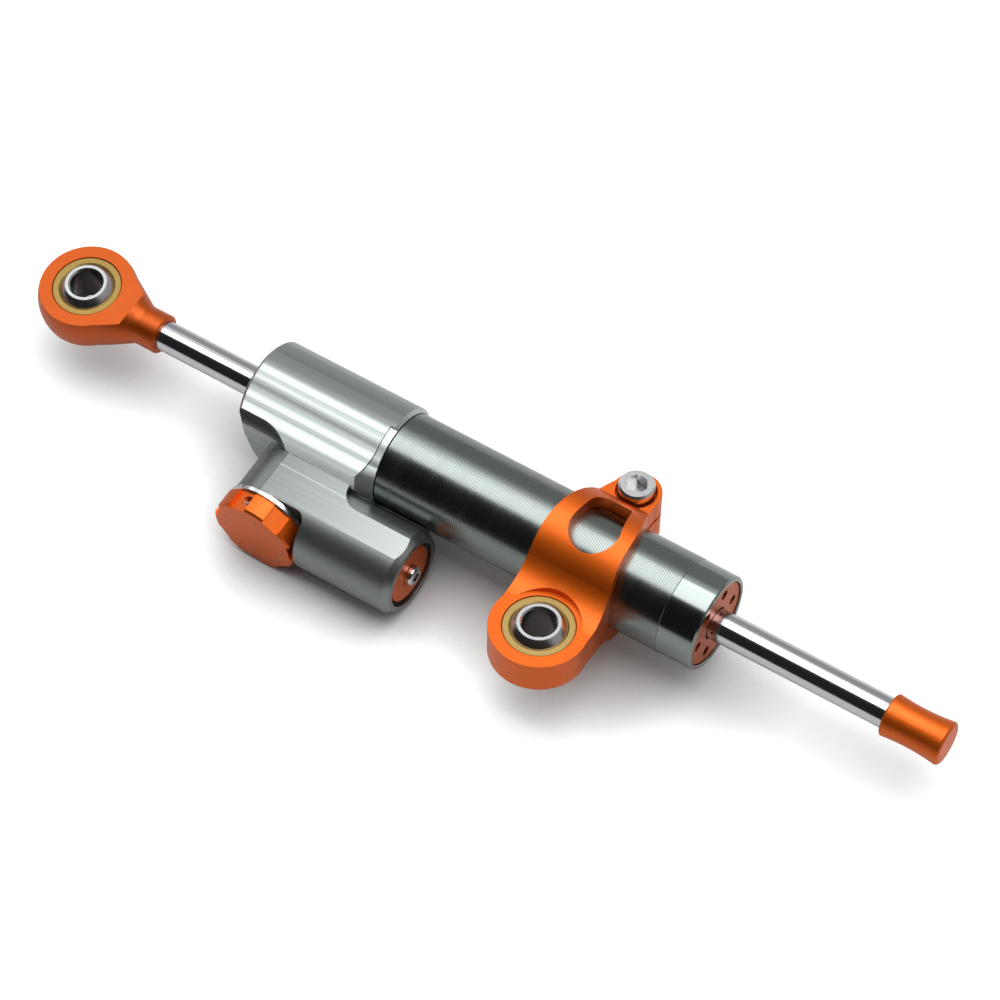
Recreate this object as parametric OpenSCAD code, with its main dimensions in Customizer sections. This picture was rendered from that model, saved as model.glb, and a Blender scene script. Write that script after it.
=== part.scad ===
// Motorcycle steering damper with a through rod, a side reservoir and a tube clamp.
// The origin is the centre of the rod-end ball. +X runs along the rod to the stop cap,
// -Y points to the adjuster knob and +Z up through the rod-end bore. Millimetres.

/* [Rod and travel] */
// Diameter of the piston rod
rod_d = 8; // [7:0.5:9]
// Rod seen between the rod end and the head
front_gap = 32.2; // [20:0.1:45]
// Rod seen between the tube and the stop cap
tail_gap = 47.3; // [30:0.1:60]
// Length of the piston
piston_len = 10.4; // [9:0.1:18]
// Length of the stop cap
cap_len = 15.8; // [10:0.1:22]

/* [Tube and head] */
// Outer diameter of the damper tube
tube_d = 25.2; // [24.5:0.1:27]
// Bore of the damper tube
tube_bore = 19; // [17.5:0.5:19.5]
// Length of the head
head_len = 41; // [39:0.5:46]
// Height of the milled flat over the rod axis
flat_z = 1.9; // [1.5:0.1:2.4]

/* [Reservoir and knob] */
// Outer diameter of the reservoir
reservoir_d = 22.8; // [22.4:0.1:23.6]
// Distance of the reservoir axis from the rod axis, sideways
reservoir_y = 22.4; // [22:0.1:24]
// Distance of the reservoir axis below the rod axis
reservoir_drop = 9; // [8.8:0.1:9.4]
// Distance from the head's front face to the reservoir's end face
reservoir_reach = 57.8; // [54:0.1:64]
// Diameter of the adjuster knob over its raised ribs
knob_d = 23.6; // [22:0.1:24]
// Length of the adjuster knob
knob_len = 5.8; // [5:0.1:8]
// Number of raised ribs on the knob
knob_ribs = 7; // [5:1:9]

/* [Bearings] */
// Diameter of the bearing ball
ball_d = 16.2; // [15:0.1:18.4]
// Thickness of the race outside the middle of the ball
race_wall = 0.9; // [0.6:0.05:1.4]
// Width of the ball
ball_w = 12; // [11:0.5:13]
// Hole through the ball for the mounting bolt
ball_bore = 8.4; // [6:0.1:9]

/* [Clamp] */
// Place of the clamp's bolt eye along the rod axis
clamp_x = 154.6; // [140:0.1:165]
// Distance of the clamp's bearing from the rod axis
clamp_reach = 27; // [26.5:0.1:30]
// Turn of the clamp about the tube, in degrees
clamp_turn = 8; // [0:1:20]
// Outer diameter of the clamp ring
clamp_d = 32; // [31.4:0.2:34]

/* [Hidden] */
$fn = 96;

// Clearances
seat = 0.02;
run_fit = 0.04;
ball_fit = 0.1;
clamp_fit = 0.05;
edge = 0.4;
fine_edge = 0.25;
cut = 0.5;
// Half the height of a cut that goes right through
through = 40;

// Radii of the main parts
rod_r = rod_d / 2;
tube_r = tube_d / 2;
bore_r = tube_bore / 2;
head_r = tube_r + 1.1;
spigot_r = tube_r - 1.3;
race_r = ball_d / 2 + race_wall;
eye_r = race_r + 4.2;
neck_r = rod_r + 1.25;

// Stations along the rod axis
neck_x1 = 24;
head_x0 = neck_x1 + front_gap;
head_x1 = head_x0 + head_len;
spigot_len = 12.6;
chamber_x0 = head_x1 - spigot_len;
stop_gap = 1;
clip_t = 0.8;
chamber_x1 = chamber_x0 + piston_len + 2 * clip_t + front_gap + tail_gap - 2 * stop_gap;
gland_len = 13.5;
gland_recess = 0.5;
gland_x1 = chamber_x1 + gland_len;
tube_x1 = gland_x1 + gland_recess;
piston_x0 = chamber_x0 + clip_t + tail_gap - stop_gap;
cap_x0 = tube_x1 + tail_gap;
cap_x1 = cap_x0 + cap_len;

// Pockets round the rod
pocket_r = rod_r + 2.5;
bushing_r = rod_r + 2;
wiper_len = 4;
seal_len = 6;
bushing_len = 14;
tail_wiper_len = 3;
tail_seal_len = 3.5;
gland_lip = 1.2;
tail_bushing_len = gland_len - gland_lip - tail_wiper_len - tail_seal_len;

// Side of the head with the reservoir and the adjuster
res_r = reservoir_d / 2;
res_z = -reservoir_drop;
res_x1 = head_x0 + reservoir_reach;
knob_setback = 17.7;
knob_x = head_x0 + knob_setback;
knob_r = knob_d / 2;
boss_r = res_r - 0.4;
boss_y = reservoir_y + 3.9;
ring_t = 1.6;
knob_y0 = boss_y + ring_t + run_fit;
knob_y1 = knob_y0 + knob_len;
pocket_x = knob_x + knob_r + 0.45;
spindle_r = 3;
spindle_tip_r = 2.2;
spindle_y1 = 9;
spindle_waist_y0 = 17;
spindle_waist_y1 = 20;
relief_y = head_r - 2.2;

// Reservoir bore and cap
res_bore_r = res_r - 3.4;
cap_bore_r = res_r - 2.6;
cap_seat_x = res_x1 - 5.4;
res_bore_x0 = pocket_x + 2.2;
float_len = 8;
float_x0 = (res_bore_x0 + cap_seat_x - float_len) / 2;
passage_r = 1.2;
passage_y = (spindle_waist_y0 + spindle_waist_y1) / 2;

// Shapes turned about an axis

// A profile of [radius, x] points turned about the rod axis
module turned(profile) {
  rotate([0, 90, 0]) rotate_extrude() polygon(profile);
}

// A profile of [radius, distance towards -Y] points turned about the knob axis
module turned_knob(profile) {
  translate([knob_x, 0, res_z]) rotate([90, 0, 0]) rotate_extrude() polygon(profile);
}

module rod_x(x0, x1, r, y = 0, z = 0) {
  translate([x0, y, z]) rotate([0, 90, 0]) cylinder(h = x1 - x0, r = r);
}

// A cylinder along the knob axis between two distances from the rod axis
module knob_rod(y0, y1, r) {
  translate([knob_x, -y0, res_z]) rotate([90, 0, 0]) cylinder(h = y1 - y0, r = r);
}

// A ring of wire or rubber about the rod axis
module wire_ring(x, ring_r, wire_r, y = 0, z = 0) {
  translate([x, y, z]) rotate([0, 90, 0]) rotate_extrude() translate([ring_r, 0]) circle(wire_r, $fn = 32);
}

// A sleeve about the rod axis with small end chamfers
module sleeve(x0, x1, r_in, r_out, c = fine_edge) {
  turned([
    [r_in, x0], [r_out - c, x0], [r_out, x0 + c],
    [r_out, x1 - c], [r_out - c, x1], [r_in, x1]
  ]);
}

// Points of an arc in a profile, from one angle to another
function arc(c, r, a0, a1, n = 12) =
  [for (i = [0:n]) [c[0] + r * cos(a0 + (a1 - a0) * i / n), c[1] + r * sin(a0 + (a1 - a0) * i / n)]];

// Head and reservoir

rear_chamfer = 1.2;
front_chamfer = 1;
// Milled slot between the tube and the reservoir, seen from above
slot_r = 5.3;
slot_x = head_x1 - 1.1;
slot_y = head_r;
corner_r = 6.8;
corner_x = head_x1 - 2.1 - corner_r;
collar_x0 = head_x1 - 6.8;

module head_turning() {
  turned([
    [0, head_x0], [head_r - front_chamfer, head_x0], [head_r, head_x0 + front_chamfer],
    [head_r, head_x1 - rear_chamfer], [head_r - rear_chamfer, head_x1 - rear_chamfer * 0.1],
    [tube_r - 0.1, head_x1], [0, head_x1]
  ]);
}

// Rounded wall that leads from the front face down to the knob boss
module gusset() {
  gusset_r = 17.3;
  inner_y = 4;
  translate([0, -inner_y, 0]) rotate([90, 0, 0]) linear_extrude(relief_y - inner_y) intersection() {
    translate([knob_x + 0.1, res_z + 3.5]) circle(gusset_r);
    translate([head_x0 + edge, res_z - boss_r]) square([knob_x - head_x0, boss_r + 2]);
  }
}

module boss() {
  turned_knob([[0, 4], [boss_r, 4], [boss_r, boss_y], [0, boss_y]]);
}

module reservoir_barrel() {
  chamfer_l = 1.8;
  chamfer_h = 1.3;
  translate([0, -reservoir_y, res_z]) turned([
    [0, knob_x], [res_r, knob_x], [res_r, res_x1 - chamfer_l],
    [res_r - chamfer_h, res_x1], [0, res_x1]
  ]);
}

// Web that ties the reservoir to the head
module web() {
  web_z0 = res_z - 3;
  translate([knob_x, -reservoir_y, web_z0]) cube([slot_x - knob_x, reservoir_y - 6, flat_z - web_z0]);
}

module slot_plan() {
  end_x = res_x1 + 5;
  difference() {
    union() {
      translate([slot_x, -slot_y]) circle(slot_r);
      translate([slot_x, -slot_y - slot_r]) square([end_x - slot_x, slot_r]);
      translate([slot_x - slot_r, -slot_y]) square([end_x - slot_x + slot_r, slot_y]);
    }
    translate([corner_x, -head_r + corner_r]) circle(corner_r);
    translate([head_x0, -head_r + corner_r]) square([corner_x + corner_r - head_x0, head_r]);
    translate([head_x0, -head_r]) square([corner_x - head_x0, head_r]);
  }
}

// Concave collar that the slot leaves round the tube end
module collar() {
  run = head_x1 - collar_x0;
  drop = head_r - tube_r - 0.05;
  // Radius of the arc that falls by drop over run and leaves the head square to its radius
  hollow_r = (run * run + drop * drop) / (2 * drop);
  rotate([0, 90, 0]) rotate_extrude() difference() {
    translate([0, head_x0]) square([head_r, head_len]);
    difference() {
      translate([head_r - 2 * drop, collar_x0 + 0.3]) square([4 * drop, run]);
      translate([head_r - hollow_r + 0.02, collar_x0]) circle(hollow_r);
    }
  }
}

module slot_cut() {
  difference() {
    translate([0, 0, -through]) linear_extrude(2 * through) slot_plan();
    collar();
  }
}

// Milled relief beside the knob boss on the front of the head
module relief_cut() {
  relief_r = 13.7;
  relief_x = head_x0 + 7.8;
  translate([0, 0, -through]) linear_extrude(2 * through) {
    translate([head_x0 - cut, -relief_y - relief_r]) square([relief_x - head_x0 + cut, relief_r]);
    translate([relief_x, -relief_y - relief_r]) circle(relief_r);
  }
}

// Corner milled out of the reservoir for the knob to stand in
module knob_corner_cut() {
  corner = 2.6;
  out_y = reservoir_y + res_r + 1;
  translate([0, 0, -through]) linear_extrude(2 * through) difference() {
    translate([head_x0 - cut, -out_y]) square([pocket_x - head_x0 + cut, out_y - boss_y]);
    difference() {
      translate([pocket_x - corner, -boss_y - corner]) square(corner + 0.01);
      translate([pocket_x - corner, -boss_y - corner]) circle(corner);
    }
  }
  knob_rod(boss_y, out_y, knob_r + 0.4);
}

module head_bores() {
  front_stop = head_x0 + wiper_len + seal_len;
  // Rod passage with the pockets for wiper, seal and bushing
  rod_x(head_x0 - cut, front_stop, pocket_r + seat);
  rod_x(front_stop - cut, front_stop + bushing_len, bushing_r + seat);
  rod_x(front_stop, head_x1, rod_r + 0.4);
  // Seat of the tube
  rod_x(chamber_x0, head_x1 + cut, spigot_r + seat);
  // Bore of the adjuster spindle
  knob_rod(spindle_y1 - 6, boss_y + cut, spindle_r + run_fit);
  // Oil passages from the chamber and from the reservoir to the spindle
  rod_x(knob_x, chamber_x0 + cut, passage_r, -5, -6.4);
  rod_x(knob_x, res_bore_x0 + cut, passage_r, -passage_y, res_z);
  // Pocket of the detent spring
  translate([0, 0, detent_reach]) knob_rod(boss_y - detent_depth, boss_y + cut, detent_r + 0.1);
  // Reservoir bore, cap seat and circlip groove
  rod_x(res_bore_x0, res_x1, res_bore_r, -reservoir_y, res_z);
  rod_x(cap_seat_x, res_x1 + cut, cap_bore_r, -reservoir_y, res_z);
  rod_x(circlip_x - circlip_wire, circlip_x + circlip_wire, cap_bore_r + 0.35, -reservoir_y, res_z);
}

module head_housing() {
  color([0.62, 0.65, 0.64]) difference() {
    union() {
      difference() {
        head_turning();
        relief_cut();
        slot_cut();
      }
      difference() {
        union() {
          gusset();
          boss();
          reservoir_barrel();
          difference() {
            web();
            slot_cut();
          }
        }
        translate([head_x0 - 1, -2 * through, flat_z]) cube([res_x1 - head_x0 + 2, 2 * through, through]);
      }
    }
    knob_corner_cut();
    head_bores();
  }
}

// Tube and tail gland

// Turned step between the long tube body and its polished end
seam_x = tube_x1 - 9.7;
tail_r = tube_r - 0.1;
gland_r = tube_r - 1.35;
o_ring_r = 0.5;

module tube() {
  groove_x = chamber_x0 + 4;
  color([0.34, 0.36, 0.36]) turned([
    [bore_r, chamber_x0], [spigot_r - edge, chamber_x0], [spigot_r, chamber_x0 + edge],
    [spigot_r, groove_x - 0.7], [spigot_r - 1.05, groove_x - 0.7],
    [spigot_r - 1.05, groove_x + 0.7], [spigot_r, groove_x + 0.7],
    [spigot_r, head_x1], [tube_r, head_x1], [tube_r, seam_x - 0.1],
    [tail_r - 0.05, seam_x], [tail_r, seam_x + 0.1], [tail_r, tube_x1 - edge],
    [tail_r - edge, tube_x1], [gland_r + seat + 0.2, tube_x1], [gland_r + seat, tube_x1 - 0.2],
    [gland_r + seat, chamber_x1], [bore_r, chamber_x1]
  ]);
}

module tail_gland() {
  pin_holes = 6;
  pin_r = 1.35;
  pin_circle = 8;
  pin_depth = 3;
  first_pin = 26;
  groove_x = chamber_x1 + 5;
  color([0.78, 0.34, 0.14]) difference() {
    turned([
      [bushing_r + seat, chamber_x1], [gland_r - edge, chamber_x1], [gland_r, chamber_x1 + edge],
      [gland_r, groove_x - 0.7], [gland_r - 1.05, groove_x - 0.7],
      [gland_r - 1.05, groove_x + 0.7], [gland_r, groove_x + 0.7],
      [gland_r, gland_x1 - fine_edge], [gland_r - fine_edge, gland_x1],
      [rod_r + 0.35, gland_x1], [rod_r + 0.35, gland_x1 - gland_lip],
      [bushing_r + seat, gland_x1 - gland_lip]
    ]);
    for (i = [0:pin_holes - 1]) rotate([first_pin + i * 360 / pin_holes, 0, 0])
      rod_x(gland_x1 - pin_depth, gland_x1 + cut, pin_r, 0, pin_circle);
  }
}

module front_bushing() {
  x0 = head_x0 + wiper_len + seal_len;
  color([0.75, 0.6, 0.35]) sleeve(x0, x0 + bushing_len, rod_r + run_fit, bushing_r);
}

module tail_bushing() {
  color([0.75, 0.6, 0.35])
    sleeve(chamber_x1, chamber_x1 + tail_bushing_len, rod_r + run_fit, bushing_r);
}

module front_rod_seal() {
  x0 = head_x0 + wiper_len;
  color([0.12, 0.12, 0.12]) sleeve(x0, x0 + seal_len, rod_r + run_fit, pocket_r);
}

module tail_rod_seal() {
  x1 = gland_x1 - gland_lip - tail_wiper_len;
  color([0.12, 0.12, 0.12]) sleeve(x1 - tail_seal_len, x1, rod_r + run_fit, bushing_r);
}

wiper_lip = 0.4;

// Wiper with a lip that leans on the rod, drawn from its outer face inwards
module wiper(x_face, x_back, side, r_out) {
  turned([
    [rod_r + run_fit, x_back], [r_out, x_back], [r_out, x_face],
    [rod_r + 1.3, x_face], [rod_r + 0.5, x_face + side * wiper_lip],
    [rod_r + run_fit, x_face + side * wiper_lip]
  ]);
}

module front_wiper() {
  color([0.1, 0.1, 0.1]) wiper(head_x0 + wiper_lip, head_x0 + wiper_len, -1, pocket_r);
}

module tail_wiper() {
  x1 = gland_x1 - gland_lip;
  color([0.1, 0.1, 0.1]) wiper(x1 - wiper_lip - seat, x1 - tail_wiper_len, 1, bushing_r);
}

module head_o_ring() {
  color([0.1, 0.1, 0.1]) wire_ring(chamber_x0 + 4, spigot_r - 0.52, o_ring_r);
}

module gland_o_ring() {
  color([0.1, 0.1, 0.1]) wire_ring(chamber_x1 + 5, gland_r - 0.52, o_ring_r);
}

// Reservoir fittings

circlip_wire = 0.5;
circlip_x = res_x1 - 1.5;
cap_face_r = cap_bore_r - 1.05;
cap_face_x = res_x1 - 0.6;
screw_head_r = 2.6;
screw_r = 1.5;

module reservoir_cap() {
  groove_x = cap_seat_x + 1.5;
  out_r = cap_bore_r - seat;
  color([0.8, 0.38, 0.17]) translate([0, -reservoir_y, res_z]) turned([
    [screw_r + seat, cap_seat_x], [out_r - fine_edge, cap_seat_x], [out_r, cap_seat_x + fine_edge],
    [out_r, groove_x - 0.7], [out_r - 1.05, groove_x - 0.7],
    [out_r - 1.05, groove_x + 0.7], [out_r, groove_x + 0.7],
    [out_r, circlip_x - circlip_wire - seat], [cap_face_r, circlip_x - circlip_wire - seat],
    [cap_face_r, cap_face_x - fine_edge], [cap_face_r - fine_edge, cap_face_x],
    [screw_head_r + 0.5, cap_face_x], [screw_head_r + 0.2, cap_face_x - 0.3],
    [screw_r + seat, cap_face_x - 0.3]
  ]);
}

module reservoir_cap_o_ring() {
  color([0.1, 0.1, 0.1])
    wire_ring(cap_seat_x + 1.5, cap_bore_r - seat - 0.52, o_ring_r, -reservoir_y, res_z);
}

module cap_circlip() {
  gap_angle = 24;
  color([0.15, 0.15, 0.16]) translate([circlip_x, -reservoir_y, res_z]) rotate([0, 90, 0])
    rotate([0, 0, gap_angle / 2]) rotate_extrude(angle = 360 - gap_angle)
      translate([cap_bore_r - 0.22, 0]) circle(circlip_wire - seat, $fn = 32);
}

// Socket cut of a cap screw, a hexagon with a countersunk mouth, at the origin looking up
module hex_socket(flats, depth) {
  hex_r = flats / sqrt(3);
  translate([0, 0, -depth]) cylinder(h = depth + cut, r = hex_r, $fn = 6);
  mouth = 0.12;
  rotate_extrude() polygon([[0, -mouth], [flats / 2, -mouth], [flats / 2 + mouth + cut, cut], [0, cut]]);
}

module fill_screw() {
  head_h = 2.1;
  seat_x = cap_face_x - 0.3 + seat;
  top = seat_x + head_h;
  dome = 0.9;
  color([0.85, 0.85, 0.86]) translate([0, -reservoir_y, res_z]) difference() {
    turned(concat(
      [[0, cap_seat_x + 0.5], [screw_r, cap_seat_x + 0.5], [screw_r, seat_x], [screw_head_r, seat_x]],
      arc([screw_head_r - dome, top - dome], dome, 0, 90, 6),
      [[0, top]]
    ));
    translate([top, 0, 0]) rotate([0, 90, 0]) hex_socket(2.5, 1.4);
  }
}

// Adjuster

detent_r = 1.5;
detent_reach = 7;
detent_depth = 9;
detent_proud = ring_t;

module detent_ring() {
  color([0.86, 0.87, 0.87]) difference() {
    turned_knob([
      [spindle_r + 0.3, boss_y], [boss_r + 0.5 - 0.3, boss_y], [boss_r + 0.5, boss_y + 0.3],
      [boss_r + 0.5, boss_y + ring_t - 0.3], [boss_r + 0.5 - 0.3, boss_y + ring_t],
      [spindle_r + 0.3, boss_y + ring_t]
    ]);
    translate([0, 0, detent_reach]) knob_rod(boss_y - cut, boss_y + ring_t + cut, detent_r + 0.1);
  }
}

module detent_ball() {
  y = boss_y + detent_proud - detent_r;
  color([0.8, 0.8, 0.8]) translate([knob_x, -y, res_z + detent_reach]) sphere(detent_r);
}

module detent_spring() {
  y1 = boss_y + detent_proud - 2 * detent_r - seat;
  color([0.7, 0.7, 0.7]) translate([0, 0, detent_reach]) difference() {
    knob_rod(boss_y - detent_depth, y1, detent_r - 0.05);
    knob_rod(boss_y - detent_depth - cut, y1 + cut, detent_r - 0.5);
  }
}

spindle_groove_y = boss_y - 4;

module spindle_o_ring() {
  color([0.1, 0.1, 0.1]) translate([knob_x, -spindle_groove_y, res_z]) rotate([90, 0, 0])
    rotate_extrude() translate([spindle_r - 0.46 + run_fit, 0]) circle(0.45, $fn = 32);
}

// Turned spindle whose waist and tip meter the oil
module adjuster_spindle() {
  groove = 0.6;
  waist_r = 2;
  color([0.8, 0.8, 0.8]) difference() {
    turned_knob([
      [0, spindle_y1], [spindle_tip_r - 0.8, spindle_y1], [spindle_tip_r, spindle_y1 + 3],
      [spindle_r, spindle_y1 + 3], [spindle_r, spindle_waist_y0 - 0.5], [waist_r, spindle_waist_y0],
      [waist_r, spindle_waist_y1], [spindle_r, spindle_waist_y1 + 0.5],
      [spindle_r, spindle_groove_y - groove], [spindle_r - 0.95, spindle_groove_y - groove],
      [spindle_r - 0.95, spindle_groove_y + groove], [spindle_r, spindle_groove_y + groove],
      [spindle_r, knob_y1 - 2.2], [spindle_r - fine_edge, knob_y1 - 2], [0, knob_y1 - 2]
    ]);
    // Flat that the set screw bears on
    rotate_about_knob(-set_screw_angle) translate([-5, -knob_y1, spindle_r - 0.4]) cube([10, knob_len, 2]);
  }
}

set_screw_angle = 13;
set_screw_r = 1.45;
set_screw_y = knob_y0 + 2.45;
set_screw_top = knob_r - 2.2;

// Places children in the knob's own frame, whose Z leaves the knob axis radially
module rotate_about_knob(angle) {
  translate([knob_x, 0, res_z]) rotate([0, angle, 0]) children();
}

module knob_set_screw() {
  z0 = spindle_r - 0.4 + seat;
  color([0.75, 0.75, 0.76]) rotate_about_knob(-set_screw_angle) translate([0, -set_screw_y, 0])
    difference() {
      translate([0, 0, z0]) cylinder(h = set_screw_top - z0, r = set_screw_r - seat);
      translate([0, 0, set_screw_top]) hex_socket(1.5, 1.2);
    }
}

module knob() {
  step = 360 / (2 * knob_ribs);
  floor_r = knob_r - 1.1;
  rim = 0.55;
  first = -5;
  color([0.95, 0.48, 0.18]) difference() {
    turned_knob([
      [0, knob_y0], [knob_r - 0.3, knob_y0], [knob_r, knob_y0 + 0.3],
      [knob_r, knob_y1 - rim], [knob_r - rim, knob_y1], [0, knob_y1]
    ]);
    // Flats between the ribs
    for (i = [0:knob_ribs - 1]) rotate_about_knob(first - step / 2 + i * 2 * step)
      translate([-floor_r * tan(step / 2), -knob_y1 - cut, floor_r]) cube([
        2 * floor_r * tan(step / 2), knob_len + 2 * cut, 3
      ]);
    knob_rod(knob_y0 - cut, knob_y1 - 2, spindle_r + seat);
    // Clearance round the detent ball and the hole of the set screw
    rotate_about_knob(-set_screw_angle) translate([0, -set_screw_y, 0])
      cylinder(h = knob_r + 1, r = set_screw_r);
    for (i = [0:2 * knob_ribs - 1]) rotate_about_knob(i * step)
      translate([0, -knob_y0 + cut, detent_reach]) rotate([90, 0, 0]) cylinder(h = cut + 0.35, r = 0.8);
  }
}

// Floating piston between oil and gas

module floating_piston() {
  out_r = res_bore_r - run_fit;
  groove_x = float_x0 + float_len / 2;
  color([0.7, 0.7, 0.72]) translate([0, -reservoir_y, res_z]) turned([
    [0, float_x0], [out_r - fine_edge, float_x0], [out_r, float_x0 + fine_edge],
    [out_r, groove_x - 0.7], [out_r - 1.05, groove_x - 0.7],
    [out_r - 1.05, groove_x + 0.7], [out_r, groove_x + 0.7],
    [out_r, float_x0 + float_len - fine_edge], [out_r - fine_edge, float_x0 + float_len],
    [4, float_x0 + float_len], [4, float_x0 + float_len - 2.5], [0, float_x0 + float_len - 2.5]
  ]);
}

module floating_piston_o_ring() {
  color([0.1, 0.1, 0.1])
    wire_ring(float_x0 + float_len / 2, res_bore_r - run_fit - 0.52, o_ring_r, -reservoir_y, res_z);
}

// Rod, piston and ends

rod_x0 = race_r + 2.4;
rod_x1 = cap_x1 - 2;
clip_depth = 0.4;

module rod() {
  g0 = piston_x0 - clip_t;
  g1 = piston_x0 + piston_len;
  color([0.88, 0.89, 0.9]) turned([
    [0, rod_x0], [rod_r - edge, rod_x0], [rod_r, rod_x0 + edge],
    [rod_r, g0], [rod_r - clip_depth, g0], [rod_r - clip_depth, g0 + clip_t], [rod_r, g0 + clip_t],
    [rod_r, g1], [rod_r - clip_depth, g1], [rod_r - clip_depth, g1 + clip_t], [rod_r, g1 + clip_t],
    [rod_r, rod_x1 - edge], [rod_r - edge, rod_x1], [0, rod_x1]
  ]);
}

piston_r = bore_r - 0.2;
ring_depth = 1.5;
ring_len = 3;

module piston() {
  mid = piston_x0 + piston_len / 2;
  floor_r = piston_r - ring_depth;
  color([0.75, 0.75, 0.76]) turned([
    [rod_r + seat, piston_x0], [piston_r - edge, piston_x0], [piston_r, piston_x0 + edge],
    [piston_r, mid - ring_len / 2], [floor_r, mid - ring_len / 2],
    [floor_r, mid + ring_len / 2], [piston_r, mid + ring_len / 2],
    [piston_r, piston_x0 + piston_len - edge], [piston_r - edge, piston_x0 + piston_len],
    [rod_r + seat, piston_x0 + piston_len]
  ]);
}

module piston_circlips() {
  color([0.3, 0.3, 0.32]) for (x = [piston_x0 - clip_t, piston_x0 + piston_len])
    sleeve(x + seat, x + clip_t - seat, rod_r - clip_depth + seat, rod_r + 0.9, 0.1);
}

module piston_ring() {
  mid = piston_x0 + piston_len / 2;
  half = ring_len / 2 - run_fit;
  color([0.2, 0.2, 0.2])
    sleeve(mid - half, mid + half, piston_r - ring_depth + run_fit, bore_r - run_fit, 0.15);
}

eye_t = 9;
cone_angle = 30;
neck_fillet = 4;

module rod_end() {
  // A ball that runs by a cone and a hollow into the neck
  cone_a = cone_angle - 6;
  start_r = eye_r - 0.12;
  hollow_c_r = neck_r + neck_fillet;
  hollow_c_x = (eye_r + neck_fillet - hollow_c_r * cos(cone_angle)) / sin(cone_angle);
  // Where the cone runs into the hollow
  meet_r = hollow_c_r - neck_fillet * cos(cone_angle);
  meet_x = hollow_c_x - neck_fillet * sin(cone_angle);
  color([0.93, 0.45, 0.17]) difference() {
    union() {
      sphere(eye_r);
      rotate([0, 90, 0]) rotate_extrude() difference() {
        polygon([
          [0, 0], [start_r * cos(cone_a), start_r * sin(cone_a)],
          [meet_r + 0.2 * sin(cone_angle), meet_x - 0.2 * cos(cone_angle)], [neck_r, hollow_c_x + 0.2],
          [neck_r, neck_x1 - edge], [neck_r - edge, neck_x1], [0, neck_x1]
        ]);
        translate([hollow_c_r, hollow_c_x]) circle(neck_fillet + 0.03);
      }
    }
    for (side = [0, 1]) mirror([0, 0, side])
      translate([0, 0, eye_t / 2]) cylinder(h = eye_r, r = eye_r + 2);
    translate([0, 0, -eye_t]) cylinder(h = 2 * eye_t, r = race_r + seat);
    rod_x(rod_x0, neck_x1 + cut, rod_r + seat);
  }
}

// Spherical bearing, laid about the Z axis

race_w = eye_t - 0.4;

module bearing_race() {
  inner = ball_d / 2 + ball_fit;
  half = race_w / 2;
  mouth = sqrt(inner * inner - half * half);
  color([0.78, 0.66, 0.38]) difference() {
    rotate_extrude() polygon([
      [mouth - 1, -half], [race_r - fine_edge, -half], [race_r, -half + fine_edge],
      [race_r, half - fine_edge], [race_r - fine_edge, half], [mouth - 1, half]
    ]);
    sphere(inner);
    for (side = [0, 1]) mirror([0, 0, side]) translate([0, 0, half - 0.3])
      cylinder(h = 0.31, r1 = mouth, r2 = mouth + 0.35);
  }
}

module bearing_ball() {
  bore = ball_bore / 2;
  half = ball_w / 2;
  color([0.82, 0.82, 0.83]) difference() {
    intersection() {
      sphere(ball_d / 2);
      cube([ball_d, ball_d, ball_w], center = true);
    }
    rotate_extrude() polygon([
      [0, -half - cut], [bore + edge + cut, -half - cut], [bore, -half + edge],
      [bore, half - edge], [bore + edge + cut, half + cut], [0, half + cut]
    ]);
  }
}

module rod_end_race() {
  bearing_race();
}

module rod_end_ball() {
  bearing_ball();
}

module stop_cap() {
  start_r = rod_r + 1.5;
  waist_r = rod_r + 1.1;
  end_r = rod_r + 1.65;
  round_r = 1;
  waist_x = cap_x0 + cap_len * 0.45;
  // One long hollow from the front edge over the waist to the rounded end
  run = waist_x - cap_x0 - edge;
  drop = start_r - waist_r;
  hollow_r = (run * run + drop * drop) / (2 * drop);
  color([0.9, 0.42, 0.15]) difference() {
    rotate([0, 90, 0]) rotate_extrude() difference() {
      polygon(concat(
        [[0, cap_x0], [start_r - edge, cap_x0], [end_r, cap_x0 + end_r - start_r + edge]],
        arc([end_r - round_r, cap_x1 - round_r], round_r, 0, 90, 8),
        [[0, cap_x1]]
      ));
      translate([waist_r + hollow_r, waist_x]) circle(hollow_r, $fn = 480);
    }
    rod_x(cap_x0 - cut, rod_x1 + seat, rod_r + seat);
  }
}

// Clamp, drawn with its bearing lug level and then turned about the tube

clamp_r = clamp_d / 2;
lug_r = race_r + 3.3;
lug_t = 9;
saddle_r = 14;
saddle_z = lug_t / 2 + saddle_r;
saddle_y = -sqrt(pow(clamp_r + saddle_r, 2) - saddle_z * saddle_z);
ear_y = 16.8;
ear_r = 6.2;
ear_top = 10;
ear_bottom = -4.5;
slit_z = 3.3;
slit_t = 1;
bolt_x = clamp_x - 0.2;
bolt_y = ear_y;
bolt_r = 3;
bolt_head_r = 4.6;
bolt_head_h = 6;
bolt_head_z = 6.9;

module in_clamp() {
  rotate([-clamp_turn, 0, 0]) children();
}

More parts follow.
